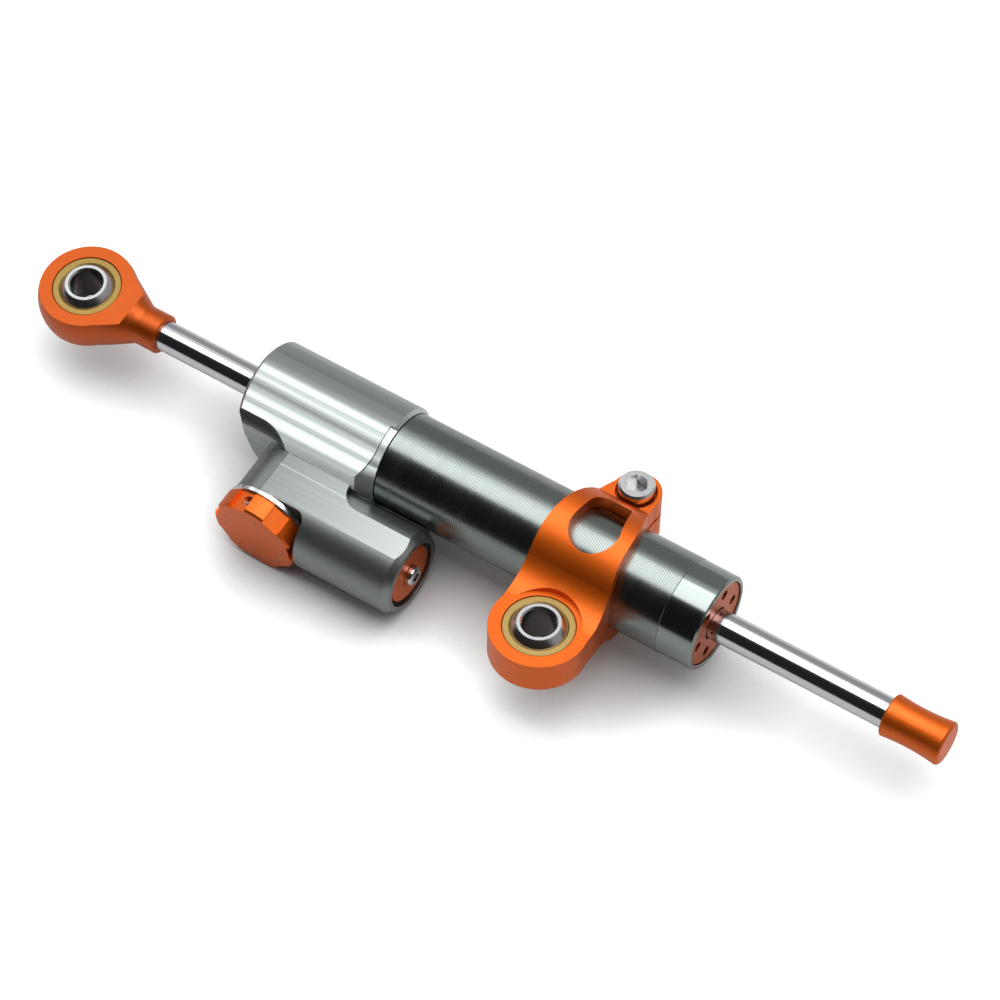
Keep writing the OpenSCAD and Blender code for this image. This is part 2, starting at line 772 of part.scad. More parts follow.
// Column whose outline is the clamp seen along its bearing axis, from the lug to the ear
module clamp_column(z0, height) {
  inset = 0.2;
  ear_x = clamp_x;
  lug_half = lug_r - inset;
  ear_half = ear_r - inset;
  // Left flank, straight and then hollowed towards the ear
  flank_y = -9;
  left_r = 61;
  left_y1 = ear_y + 1;
  // Right flank, from the waist up to the ear and down to the lug
  waist_y = -4;
  waist_half = 9.7;
  right_r = 37;
  right_y1 = 12;
  right_y0 = -clamp_reach + 4;
  translate([clamp_x, -clamp_reach, z0]) cylinder(h = height, r = lug_r);
  translate([ear_x, ear_y, z0]) cylinder(h = height, r = ear_r);
  translate([0, 0, z0]) linear_extrude(height) polygon(concat(
    [[clamp_x - lug_half, -clamp_reach + 1]],
    [for (i = [0:8]) let (y = flank_y + (left_y1 - flank_y) * i / 8)
      [clamp_x - lug_half + left_r - sqrt(left_r * left_r - pow(y - flank_y, 2)), y]],
    [[ear_x + ear_half, ear_y]],
    [for (i = [0:8]) let (y = right_y1 + (waist_y - right_y1) * i / 8)
      [clamp_x + waist_half - right_r + sqrt(right_r * right_r - pow(y - waist_y, 2)), y]],
    [for (i = [1:8]) let (t = i / 8, half = waist_half + (lug_half - waist_half) * t * t * (3 - 2 * t))
      [clamp_x + half, waist_y + (right_y0 - waist_y) * t]],
    [[clamp_x + lug_half, -clamp_reach + 1]]
  ));
}

// Ring, lug plate, saddle fillets and ear block, before the plan trims them
module clamp_blank() {
  x0 = clamp_x - 30;
  x1 = clamp_x + 30;
  ear_end = ear_y + ear_r + 1;
  // The saddle hollows start where they touch the ring
  saddle_top = clamp_r * saddle_z / (clamp_r + saddle_r);
  rod_x(x0, x1, clamp_r);
  translate([x0, -clamp_reach - lug_r - 1, -lug_t / 2]) cube([x1 - x0, clamp_reach + lug_r + 1, lug_t]);
  difference() {
    translate([x0, saddle_y - 1, -saddle_top]) cube([x1 - x0, 1 - saddle_y, 2 * saddle_top]);
    for (side = [-1, 1]) rod_x(x0 - cut, x1 + cut, saddle_r + 0.03, saddle_y, side * saddle_z);
    translate([x0 - cut, saddle_y - 2, -through]) cube([x1 - x0 + 2 * cut, 2, 2 * through]);
  }
  translate([x0, 0, ear_bottom]) cube([x1 - x0, ear_end, ear_top - ear_bottom]);
}

// Window milled through the top of the ring
module clamp_window() {
  low_r = 6.4;
  low_y = -2.3;
  x = clamp_x - 0.3;
  translate([0, 0, 4]) linear_extrude(20) {
    translate([x, low_y]) circle(low_r);
    translate([x + 3.2, 7.6]) circle(1, $fn = 32);
    translate([x - 1.7, 4.7]) circle(4);
    polygon([
      [x - low_r, low_y], [x + low_r, low_y], [x + 4.17, 7.8], [x + 3.2, 8.6],
      [x - 1.7, 8.7], [x - 5.65, 5.3]
    ]);
  }
}

module clamp() {
  spot_r = race_r + 1.35;
  bolt_hole_r = bolt_r + 0.2;
  counterbore_r = bolt_head_r + 0.6;
  color([0.93, 0.45, 0.17]) in_clamp() difference() {
    intersection() {
      clamp_column(-through, 2 * through);
      clamp_blank();
    }
    rod_x(clamp_x - through, clamp_x + through, tube_r + clamp_fit);
    clamp_window();
    // Spot faces and bore of the bearing
    for (side = [0, 1]) mirror([0, 0, side])
      translate([clamp_x, -clamp_reach, lug_t / 2]) cylinder(h = through, r = spot_r);
    translate([clamp_x, -clamp_reach, -lug_t]) cylinder(h = 2 * lug_t, r = race_r + seat);
    // Slit, bolt hole and counterbore of the ear
    translate([clamp_x - through, 0, slit_z]) cube([2 * through, through, slit_t]);
    translate([bolt_x, bolt_y, slit_z]) cylinder(h = through, r = bolt_hole_r);
    translate([bolt_x, bolt_y, ear_bottom - cut])
      cylinder(h = slit_z - ear_bottom + 2 * cut, r = bolt_r + seat);
    translate([bolt_x, bolt_y, bolt_head_z]) cylinder(h = through, r = counterbore_r);
  }
}

module clamp_race() {
  in_clamp() translate([clamp_x, -clamp_reach, 0]) bearing_race();
}

module clamp_ball() {
  in_clamp() translate([clamp_x, -clamp_reach, 0]) bearing_ball();
}

module clamp_bolt() {
  top = bolt_head_z + bolt_head_h + seat;
  bolt_tip = ear_bottom + 0.5;
  color([0.82, 0.83, 0.84]) in_clamp() translate([bolt_x, bolt_y, 0]) difference() {
    rotate_extrude() polygon([
      [0, bolt_tip], [bolt_r - edge, bolt_tip], [bolt_r, bolt_tip + edge],
      [bolt_r, bolt_head_z + seat], [bolt_head_r - 0.15, bolt_head_z + seat],
      [bolt_head_r, bolt_head_z + 0.2], [bolt_head_r, top - 0.5], [bolt_head_r - 0.5, top], [0, top]
    ]);
    translate([0, 0, top]) hex_socket(5, 3);
  }
}

head_housing();
tube();
tail_gland();
front_bushing();
tail_bushing();
front_rod_seal();
tail_rod_seal();
front_wiper();
tail_wiper();
head_o_ring();
gland_o_ring();
reservoir_cap();
reservoir_cap_o_ring();
cap_circlip();
fill_screw();
detent_ring();
detent_ball();
detent_spring();
spindle_o_ring();
floating_piston();
floating_piston_o_ring();
rod();
piston();
piston_circlips();
piston_ring();
rod_end();
rod_end_race();
rod_end_ball();
stop_cap();
clamp();
clamp_race();
clamp_ball();
clamp_bolt();
knob();
knob_set_screw();
adjuster_spindle();
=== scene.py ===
import math

import bpy
from mathutils import Matrix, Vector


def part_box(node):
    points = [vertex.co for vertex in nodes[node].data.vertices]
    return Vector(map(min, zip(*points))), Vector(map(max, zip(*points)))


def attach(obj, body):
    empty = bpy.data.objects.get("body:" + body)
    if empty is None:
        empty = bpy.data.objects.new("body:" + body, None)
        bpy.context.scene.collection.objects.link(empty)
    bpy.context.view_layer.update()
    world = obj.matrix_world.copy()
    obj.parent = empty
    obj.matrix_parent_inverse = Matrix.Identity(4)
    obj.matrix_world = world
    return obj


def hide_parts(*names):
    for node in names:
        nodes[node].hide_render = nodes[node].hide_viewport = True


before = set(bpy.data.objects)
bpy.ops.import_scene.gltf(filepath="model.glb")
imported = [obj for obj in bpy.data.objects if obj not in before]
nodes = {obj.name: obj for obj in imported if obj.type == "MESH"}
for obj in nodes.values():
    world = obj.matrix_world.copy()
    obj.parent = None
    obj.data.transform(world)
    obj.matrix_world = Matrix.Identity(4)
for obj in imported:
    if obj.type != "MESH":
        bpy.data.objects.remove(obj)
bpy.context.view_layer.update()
scene = bpy.context.scene
print("frame loaded:", len(nodes), "CAD nodes")

# Sizes are in metres, and stations count along the rod from the middle of the rod end's bore


def hexColour(code):
    # sRGB hex to the linear values that the sockets take
    values = [int(code[i:i + 2], 16) / 255 for i in (1, 3, 5)]
    return [v / 12.92 if v <= 0.04045 else ((v + 0.055) / 1.055) ** 2.4 for v in values] + [1.0]


def addNode(tree, kind, inputs=None, **settings):
    # Inputs go by name or number: a socket is linked, anything else is set
    item = tree.nodes.new(kind)
    for name, value in settings.items():
        setattr(item, name, value)
    for name, value in (inputs or {}).items():
        if isinstance(value, bpy.types.NodeSocket):
            tree.links.new(value, item.inputs[name])
        else:
            item.inputs[name].default_value = value
    return item


def newMaterial(name):
    material = bpy.data.materials.new(name)
    material.use_nodes = True
    material.node_tree.nodes.clear()
    return material, material.node_tree


def giveFinish(material, *names):
    # Puts the material in every slot of these CAD nodes
    for name in names:
        mesh = nodes[name].data
        if not mesh.materials:
            mesh.materials.append(material)
        for i in range(len(mesh.materials)):
            mesh.materials[i] = material


# finishes
along = (1.0, 0.015, 0.01)       # down the rod, a hair off so that end faces keep a direction too
rodEndCentre = (0, 0, 0)
clampCentre = (0.1546, -0.026737, 0.003758)
boltCentre = (0.1544, 0.0179, 0.0105)
waveStep = 2 * math.pi / 20      # at this scale a wave texture repeats once a metre
noiseSpan = {1: 0.3, 2: 0.7}     # most of a noise lies here, so a Map Range starts from it


def streaks(tree, perMetre, detail=3.0):
    # Noise with so many cycles per metre on each axis: it draws out where they are few
    place = addNode(tree, "ShaderNodeTexCoord")
    scaled = addNode(tree, "ShaderNodeMapping", {"Vector": place.outputs["Object"], "Scale": perMetre})
    return addNode(tree, "ShaderNodeTexNoise", {"Vector": scaled.outputs[0], "Scale": 1.0,
                                                "Detail": detail, "Roughness": 0.65}).outputs[0]


def closeMaterial(tree, inputs):
    # Every finish ends in one principled surface
    shader = addNode(tree, "ShaderNodeBsdfPrincipled", inputs)
    addNode(tree, "ShaderNodeOutputMaterial", {"Surface": shader.outputs[0]})


tubeFinish = {
    "colour": "#737977",
    "pale": "#89908d",       # in the grooves and on the end band
    "roughness": (0.22, 0.29),
    "endRoughness": 0.17,
    "anisotropic": 0.35,
    "pitch": 0.00055,        # lathe feed, really about 0.2 mm, drawn coarser so that it shows
    "waver": (260, 30, 30),  # slow unevenness per metre: 4 mm long, 33 mm wide
    "waverShare": 0.5,       # its height against the rings
    "seam": 0.1784,          # past this station the tube is polished
    "bump": 0.55,
    "depth": 0.00001,
}


def turnedDarkAnodized(name, look):
    # Aluminium turned on a lathe and hard anodised dark grey: fine even rings break each long
    # reflection into ticks, and the polished end band carries it unbroken
    material, tree = newMaterial(name)
    place = addNode(tree, "ShaderNodeTexCoord").outputs["Object"]
    x = addNode(tree, "ShaderNodeSeparateXYZ", {0: place}).outputs["X"]
    ringed = addNode(tree, "ShaderNodeMath", {0: x, 1: look["seam"]}, operation="LESS_THAN").outputs[0]
    feed = addNode(tree, "ShaderNodeTexWave",
                   {"Vector": place, "Scale": waveStep / look["pitch"], "Distortion": 0.8,
                    "Detail": 2.0, "Detail Scale": 0.4}, bands_direction="X").outputs["Fac"]
    rings = addNode(tree, "ShaderNodeMath", {0: feed, 1: ringed}, operation="MULTIPLY").outputs[0]
    slow = streaks(tree, look["waver"])
    relief = addNode(tree, "ShaderNodeMath", {0: slow, 1: look["waverShare"], 2: rings},
                     operation="MULTIPLY_ADD").outputs[0]
    bump = addNode(tree, "ShaderNodeBump", {"Height": relief, "Strength": look["bump"],
                                            "Distance": look["depth"]}).outputs[0]
    colour = addNode(tree, "ShaderNodeMix", {0: rings, 6: hexColour(look["pale"]),
                                             7: hexColour(look["colour"])}, data_type="RGBA").outputs[2]
    low, high = look["roughness"]
    uneven = addNode(tree, "ShaderNodeMapRange", {0: slow, **noiseSpan, 3: low, 4: high}).outputs[0]
    rough = addNode(tree, "ShaderNodeMix", {0: ringed, 2: look["endRoughness"], 3: uneven}).outputs[0]
    # Highlights stretch across the tool marks, so down the axis
    acrossRings = addNode(tree, "ShaderNodeCombineXYZ", dict(enumerate(along))).outputs[0]
    closeMaterial(tree, {"Metallic": 1.0, "Base Color": colour, "Roughness": rough, "Normal": bump,
                         "Tangent": acrossRings, "Anisotropic": look["anisotropic"]})
    return material


headFinish = {
    # Degrees round the rod from +Y over the top, and the grey of each belted band there, painted lighter
    # and darker by angle as painted highlight and painted shade
    "paintedBandGreys": [
        (0, "#adb3b1"), (36, "#c7cfcd"), (44, "#adb3b1"), (56, "#b2b8b6"), (68, "#b1b8b6"),
        (76, "#afb4b2"), (84, "#8e9290"), (89, "#848987"), (93, "#a7adab"), (96, "#bfc5c3"),
        (99, "#abb1af"), (104, "#9fa5a3"), (108, "#bfc5c3"), (112, "#bfc6c4"), (117, "#c0c6c3"),
        (122, "#afb5b3"), (128, "#c2c8c6"), (132, "#b6bcba"), (136, "#a7adab"), (140, "#b6bcba"),
        (148, "#bfc5c3"), (152, "#b9bfbd"), (180, "#bec4c2")],
    # Degrees as above, and how far a band leans up to the lamp
    "leans": [
        (0, 0), (90, 0), (114, 0.02), (116, 0.03), (120, 0.17), (124, 0.29), (128, 0.44),
        (131, 0.45), (136, 0.5), (139, 0.8), (145, 0.9), (149, 0.93), (152, 0.88), (156, 1.0),
        (160, 1.12), (164, 1.27), (170, 1.55), (180, 1.95)],
    "collarLean": 0.7,       # share of the lean that the collar keeps
    "waver": 0.05,           # how far the bands' edges wander, in radians
    "passGrey": "#a6acaa",   # passes of the belt inside a band, and how strongly they show
    "passContrast": 0.6,
    "barrel": "#898e8c",
    "knobSide": "#6f7372",   # the flat is darker by the knob and paler at the far end
    "farSide": "#9da2a0",
    "flatSpan": (0.062, 0.113),
    "mottle": (0.88, 1.14),  # cutter lines make the flat darker and paler by these shares
    "collar": "#bec4c2",     # the polished ring that laps over the tube
    "paintedGapShadow": "#161918",        # painted shadow: the thin slit between it and the tube is coloured near black
    "witness": "#dde2e0",    # thin line where two cutter passes meet on the flat
    "witnessY": -0.0174,
    "witnessHalf": 0.00009,  # half its width
    "witnessShare": 0.4,
    "roughness": (0.28, 0.36),
    "flatRoughness": (0.31, 0.38),
    "barrelRoughness": 0.38,
    "collarRoughness": 0.3,
    "anisotropic": 0.4,
    "passWidth": 0.0006,     # belt marks, really about 0.1 mm, drawn coarser so that they show
    "passRun": 6,            # per metre, so a mark runs on for about 170 mm
    "lineWidth": 0.00025,    # cutter lines on the flat
    "lineRun": 14,           # per metre, about 70 mm
    "pitch": 0.0006,         # faint turning rings left under the belting, drawn coarser
    "grain": 0.0002,         # grit of the belt, drawn coarser too
    "ringShare": 0.35,       # height of rings and of grain against the passes
    "bump": 0.16,
    "depth": 0.00002,
    "edge": 0.00022,         # broken edges, as wide as they are
    "flatFromZ": 0.00185,
    "beltedFromY": -0.0137,  # the round back is on this side of it, flat and barrel beyond
    "endFace": 0.75,         # a face that looks down the rod more than this is only milled
    "collarFromX": 0.0905,
    "headRadius": 0.01366,
    "gapShadowRadius": 0.01272,
}


def headZones(tree, look, place, x, y, z):
    # Where the zones of the head lie, each 1 inside and 0 outside
    facing = addNode(tree, "ShaderNodeSeparateXYZ", {0: place["Normal"]}).outputs["X"]
    endwise = addNode(tree, "ShaderNodeMath", {0: facing}, operation="ABSOLUTE").outputs[0]
    radial = addNode(tree, "ShaderNodeVectorMath", {0: place["Object"], 1: (0, 1, 1)},
                     operation="MULTIPLY").outputs[0]
    reach = addNode(tree, "ShaderNodeVectorMath", {0: radial}, operation="LENGTH").outputs["Value"]
    limits = {"back": (y, "GREATER_THAN", look["beltedFromY"]),
              "sideways": (endwise, "LESS_THAN", look["endFace"]),
              "overTube": (x, "GREATER_THAN", look["collarFromX"]),
              "inHead": (reach, "LESS_THAN", look["headRadius"]),
              "byTube": (reach, "LESS_THAN", look["gapShadowRadius"]),
              "onFlat": (z, "GREATER_THAN", look["flatFromZ"])}
    zones = {zone: addNode(tree, "ShaderNodeMath", {0: source, 1: limit}, operation=test).outputs[0]
             for zone, (source, test, limit) in limits.items()}
    for zone, first, second in (("belted", "back", "sideways"), ("collar", "overTube", "inHead"),
                                ("paintedGapShadow", "collar", "byTube")):
        zones[zone] = addNode(tree, "ShaderNodeMath", {0: zones[first], 1: zones[second]},
                              operation="MULTIPLY").outputs[0]
    return zones


def paintedGreyAndLeanRamps(tree, look, y, z, passes):
    # Each band's painted grey (painted highlight and shade) and lean by its angle round the rod,
    # wavering a little with the passes
    waver = look["waver"]
    angle = addNode(tree, "ShaderNodeMath", {0: z, 1: y}, operation="ARCTAN2").outputs[0]
    wavered = addNode(tree, "ShaderNodeMath", {0: passes, 1: waver, 2: angle},
                      operation="MULTIPLY_ADD").outputs[0]
    turned = addNode(tree, "ShaderNodeMapRange",
                     {0: wavered, 1: waver / 2, 2: math.pi + waver / 2}).outputs[0]
    ramps = []
    for stops, asColour in ((look["paintedBandGreys"], hexColour), (look["leans"], lambda v: (v, v, v, 1))):
        ramp = addNode(tree, "ShaderNodeValToRGB", {0: turned})
        marks = ramp.color_ramp.elements
        for i, (degrees, value) in enumerate(stops):
            mark = marks[i] if i < 2 else marks.new(degrees / 180)
            mark.position, mark.color = degrees / 180, asColour(value)
        ramps.append(ramp.outputs[0])
    return ramps


def leaningNormal(tree, look, zones, lean):
    # Each band's normal leans up to the lamp, as a ground facet's does, and edges are broken
    soft = addNode(tree, "ShaderNodeBevel", {"Radius": look["edge"]}, samples=4).outputs[0]
    upward = addNode(tree, "ShaderNodeVectorMath", {0: soft, 1: (1, 0, 0)},
                     operation="CROSS_PRODUCT").outputs[0]
    keptLean = addNode(tree, "ShaderNodeMath",
                       {0: zones["collar"], 1: look["collarLean"] - 1, 2: 1.0},
                       operation="MULTIPLY_ADD").outputs[0]
    leanShare = addNode(tree, "ShaderNodeMath", {0: zones["belted"], 1: keptLean},
                        operation="MULTIPLY").outputs[0]
    leanBy = addNode(tree, "ShaderNodeMath", {0: lean, 1: leanShare}, operation="MULTIPLY").outputs[0]
    leaning = addNode(tree, "ShaderNodeVectorMath", {0: upward, 1: leanBy, 2: soft},
                      operation="MULTIPLY_ADD").outputs[0]
    normal = addNode(tree, "ShaderNodeVectorMath", {0: leaning}, operation="NORMALIZE").outputs[0]
    return normal, upward


def paintedBandColours(tree, look, paintedBandGrey, passes):
    # Bands of painted highlight and shade in grey, with the belt's passes in them
    passShare = addNode(tree, "ShaderNodeMapRange", {0: passes, **noiseSpan}).outputs[0]
    passGrey = addNode(tree, "ShaderNodeMix",
                       {0: passShare, 6: hexColour("#ffffff"), 7: hexColour(look["passGrey"])},
                       data_type="RGBA").outputs[2]
    return addNode(tree, "ShaderNodeMix", {0: look["passContrast"], 6: paintedBandGrey, 7: passGrey},
                   data_type="RGBA", blend_type="MULTIPLY").outputs[2]


def flatColours(tree, look, x, y, lines):
    # The flat pales towards its far end, streaked by the cutter, with one bright line down it
    low, high = look["flatSpan"]
    downFlat = addNode(tree, "ShaderNodeMapRange", {0: x, 1: low, 2: high}).outputs[0]
    flat = addNode(tree, "ShaderNodeMix",
                   {0: downFlat, 6: hexColour(look["knobSide"]), 7: hexColour(look["farSide"])},
                   data_type="RGBA").outputs[2]
    low, high = look["mottle"]
    mottle = addNode(tree, "ShaderNodeMapRange", {0: lines, **noiseSpan, 3: low, 4: high}).outputs[0]
    streaked = addNode(tree, "ShaderNodeVectorMath", {0: flat, "Scale": mottle},
                       operation="SCALE").outputs[0]
    onLine = addNode(tree, "ShaderNodeMath", {0: y, 1: look["witnessY"], 2: look["witnessHalf"]},
                     operation="COMPARE").outputs[0]
    witness = addNode(tree, "ShaderNodeMath", {0: onLine, 1: look["witnessShare"]},
                      operation="MULTIPLY").outputs[0]
    return addNode(tree, "ShaderNodeMix", {0: witness, 6: streaked, 7: hexColour(look["witness"])},
                   data_type="RGBA").outputs[2]


def headRoughness(tree, look, zones, passes, lines):
    # Polished collar, satin bands, and a flat and barrel that are a little duller
    low, high = look["flatRoughness"]
    milled = addNode(tree, "ShaderNodeMapRange", {0: lines, **noiseSpan, 3: low, 4: high}).outputs[0]
    low, high = look["roughness"]
    ground = addNode(tree, "ShaderNodeMapRange", {0: passes, **noiseSpan, 3: low, 4: high}).outputs[0]
    offBelt = addNode(tree, "ShaderNodeMix",
                      {0: zones["onFlat"], 2: look["barrelRoughness"], 3: milled}).outputs[0]
    offCollar = addNode(tree, "ShaderNodeMix",
                        {0: zones["belted"], 2: offBelt, 3: ground}).outputs[0]
    return addNode(tree, "ShaderNodeMix",
                   {0: zones["collar"], 2: offCollar, 3: look["collarRoughness"]}).outputs[0]


def milledGreyAnodized(name, look):
    # Aluminium milled from one block and anodised titanium grey: the round back is belted in
    # lengthwise bands that each catch the lamp, their greys painted lighter and darker by angle as
    # painted highlight and shade, the flat has straight cutter lines, the collar round the tube is
    # polished with painted shadow in the slit beside it, and every edge is broken by a bright line
    material, tree = newMaterial(name)
    place = addNode(tree, "ShaderNodeTexCoord").outputs
    x, y, z = addNode(tree, "ShaderNodeSeparateXYZ", {0: place["Object"]}).outputs
    zones = headZones(tree, look, place, x, y, z)
    passes = streaks(tree, (look["passRun"], 1 / look["passWidth"], 1 / look["passWidth"]), 4.0)
    lines = streaks(tree, (look["lineRun"], 1 / look["lineWidth"], 1 / look["lineWidth"]))
    grain = streaks(tree, (1 / look["grain"],) * 3, 2.0)
    feed = addNode(tree, "ShaderNodeTexWave",
                   {"Vector": place["Object"], "Scale": waveStep / look["pitch"], "Distortion": 2.0,
                    "Detail": 3.0}, bands_direction="X").outputs["Fac"]
    # Painted highlight and shade: the belted back's grey is set by its angle round the rod
    paintedBandGrey, lean = paintedGreyAndLeanRamps(tree, look, y, z, passes)
    normal, upward = leaningNormal(tree, look, zones, lean)

    # Relief: passes, grain and rings on the belted back, cutter lines elsewhere
    grained = addNode(tree, "ShaderNodeMath", {0: grain, 1: look["ringShare"], 2: passes},
                      operation="MULTIPLY_ADD").outputs[0]
    ringed = addNode(tree, "ShaderNodeMath", {0: feed, 1: look["ringShare"], 2: grained},
                     operation="MULTIPLY_ADD").outputs[0]
    relief = addNode(tree, "ShaderNodeMix", {0: zones["belted"], 2: lines, 3: ringed}).outputs[0]
    bump = addNode(tree, "ShaderNodeBump",
                   {"Height": relief, "Normal": normal, "Strength": look["bump"],
                    "Distance": look["depth"]}).outputs[0]
    tangent = addNode(tree, "ShaderNodeMix", {0: zones["belted"], 4: (0, 1, 0), 5: upward},
                      data_type="VECTOR").outputs[1]

    # From the barrel's grey up, each zone's colour lies over the last
    colour = hexColour(look["barrel"])
    # The slit's near black, laid last, is painted shadow beside the tube
    for zone, over in (("onFlat", flatColours(tree, look, x, y, lines)),
                       ("belted", paintedBandColours(tree, look, paintedBandGrey, passes)),
                       ("collar", hexColour(look["collar"])), ("paintedGapShadow", hexColour(look["paintedGapShadow"]))):
        colour = addNode(tree, "ShaderNodeMix", {0: zones[zone], 6: colour, 7: over},
                         data_type="RGBA").outputs[2]
    rough = headRoughness(tree, look, zones, passes, lines)
    closeMaterial(tree, {"Metallic": 1.0, "Base Color": colour, "Roughness": rough, "Normal": bump,
                         "Tangent": tangent, "Anisotropic": look["anisotropic"]})
    return material


orangeFinish = {
    "colour": "#e1690f",
    "deep": "#d75e0b",
    "cloud": 140,            # per metre: the dye varies over 7 mm
    "roughness": (0.47, 0.54),
    "coat": 0.4,
    "coatRoughness": 0.35,
    "grain": 0.00016,        # blast dimples, really 0.06 mm, drawn coarser so that they show
    "bump": 0.12,
    "depth": 0.00003,
    "edge": 0.00022,         # tumbled edges
}
# Painted shade: the rod end wears a darker copy of the same orange, so that it reads less lit
rodEndShadedFinish = {**orangeFinish, "colour": "#c95a10", "deep": "#be510c"}
# The gland is duller, and painted shade makes its holes dark from this station inward
glandFinish = {**orangeFinish, "colour": "#c4602c", "deep": "#b95626", "paintedHoleShade": "#2a0b04",
               "holeShadeFrom": 0.18755, "holeShadeFade": 0.0007}


def blastedOrangeAnodized(name, look):
    # Aluminium bead-blasted and dyed orange in the anodising bath: an even satin with tiny
    # dimples, deep where it is dark and paler where it faces the lamp
    material, tree = newMaterial(name)
    grain = streaks(tree, (1 / look["grain"],) * 3, 2.0)
    cloud = streaks(tree, (look["cloud"],) * 3)
    soft = addNode(tree, "ShaderNodeBevel", {"Radius": look["edge"]}, samples=4).outputs[0]
    bump = addNode(tree, "ShaderNodeBump",
                   {"Height": grain, "Normal": soft, "Strength": look["bump"],
                    "Distance": look["depth"]}).outputs[0]
    colour = addNode(tree, "ShaderNodeMix",
                     {0: cloud, 6: hexColour(look["colour"]), 7: hexColour(look["deep"])},
                     data_type="RGBA").outputs[2]
    # Painted shade: past a station the holes' walls are coloured near black, where shade falls inside
    # them
    if "paintedHoleShade" in look:
        place = addNode(tree, "ShaderNodeTexCoord").outputs["Object"]
        x = addNode(tree, "ShaderNodeSeparateXYZ", {0: place}).outputs["X"]
        inHoleShade = addNode(tree, "ShaderNodeMapRange",
                         {0: x, 1: look["holeShadeFrom"], 2: look["holeShadeFrom"] - look["holeShadeFade"]})
        colour = addNode(tree, "ShaderNodeMix",
                         {0: inHoleShade.outputs[0], 6: colour, 7: hexColour(look["paintedHoleShade"])},
                         data_type="RGBA").outputs[2]
    low, high = look["roughness"]
    rough = addNode(tree, "ShaderNodeMapRange", {0: grain, **noiseSpan, 3: low, 4: high}).outputs[0]
    closeMaterial(tree, {"Metallic": 1.0, "Base Color": colour, "Roughness": rough, "Normal": bump,
                         "Coat Weight": look["coat"], "Coat Roughness": look["coatRoughness"]})
    return material


metalSpread = (0.85, 1.2)        # the roughness of bare metal varies between these shares
metalDepth = 0.00002             # depth of its marks
metalGrain = 2500                # per metre, so 0.4 mm, drawn coarser so that it shows
grainShare = 0.5                 # height of the grain against the rings
faceSpan = {1: 0.5, 2: 1.0}      # most of rings and grain together lies here
ringRun = 8                      # per metre across the rod, so few that a ring is even all round
wallFacing = 0.35                # a face whose normal rises less is the wall of a bore


def facedMetal(name, colour, pale, roughness, centre, ringWidth=0.0003, bump=0.06, bore=None):
    # Metal faced on a lathe: rings about its centre, and a bore whose wall may be coloured dark as
    # painted shade
    material, tree = newMaterial(name)
    place = addNode(tree, "ShaderNodeTexCoord").outputs
    reach = addNode(tree, "ShaderNodeVectorMath", {0: place["Object"], 1: centre},
                    operation="DISTANCE").outputs["Value"]
    steps = addNode(tree, "ShaderNodeMath", {0: reach, 1: 1 / ringWidth},
                    operation="MULTIPLY").outputs[0]
    rings = addNode(tree, "ShaderNodeTexNoise", {"W": steps, "Scale": 1.0, "Detail": 2.0},
                    noise_dimensions="1D").outputs[0]
    grain = streaks(tree, (metalGrain,) * 3, 2.0)
    relief = addNode(tree, "ShaderNodeMath", {0: grain, 1: grainShare, 2: rings},
                     operation="MULTIPLY_ADD").outputs[0]
    shade = addNode(tree, "ShaderNodeMix", {0: rings, 6: hexColour(colour), 7: hexColour(pale)},
                    data_type="RGBA").outputs[2]
    if bore:
        # The ball's middle faces sideways as the wall of its bore does, but the race hides it
        # Painted shade: where the normal lies near level, the wall of the bore is coloured dark
        facing = addNode(tree, "ShaderNodeSeparateXYZ", {0: place["Normal"]}).outputs["Z"]
        inBoreShade = addNode(tree, "ShaderNodeMath", {0: facing, 1: 0.0, 2: wallFacing},
                         operation="COMPARE")
        shade = addNode(tree, "ShaderNodeMix", {0: inBoreShade.outputs[0], 6: shade, 7: hexColour(bore)},
                        data_type="RGBA").outputs[2]
    low, high = (roughness * share for share in metalSpread)
    rough = addNode(tree, "ShaderNodeMapRange", {0: relief, **faceSpan, 3: low, 4: high})
    bumped = addNode(tree, "ShaderNodeBump", {"Height": relief, "Strength": bump,
                                              "Distance": metalDepth})
    closeMaterial(tree, {"Metallic": 1.0, "Base Color": shade, "Roughness": rough.outputs[0],
                         "Normal": bumped.outputs[0]})
    return material


def turnedMetal(name, colour, roughness, ringWidth=0.0004, bump=0.05, anisotropic=0.0):
    # Bare metal turned or ground about the rod: faint rings along its length
    material, tree = newMaterial(name)
    rings = streaks(tree, (1 / ringWidth, ringRun, ringRun))
    low, high = (roughness * share for share in metalSpread)
    rough = addNode(tree, "ShaderNodeMapRange", {0: rings, **noiseSpan, 3: low, 4: high})
    bumped = addNode(tree, "ShaderNodeBump", {"Height": rings, "Strength": bump,
                                              "Distance": metalDepth})
    values = {"Metallic": 1.0, "Base Color": hexColour(colour), "Roughness": rough.outputs[0],
              "Normal": bumped.outputs[0], "Anisotropic": anisotropic}
    if anisotropic:
        values["Tangent"] = addNode(tree, "ShaderNodeCombineXYZ", dict(enumerate(along))).outputs[0]
    closeMaterial(tree, values)
    return material


def mouldedRubber(name, colour, roughness, bloom=400):
    # Moulded rubber or filled plastic: near black and dull, with a faint bloom
    material, tree = newMaterial(name)
    low, high = roughness
    rough = addNode(tree, "ShaderNodeMapRange",
                    {0: streaks(tree, (bloom,) * 3, 2.0), **noiseSpan, 3: low, 4: high})
    closeMaterial(tree, {"Base Color": hexColour(colour), "Roughness": rough.outputs[0]})
    return material


ballSteel = {"colour": "#b4b5b6", "pale": "#c9cacb", "roughness": 0.24, "ringWidth": 0.0005,
             "bore": "#4a4746"}
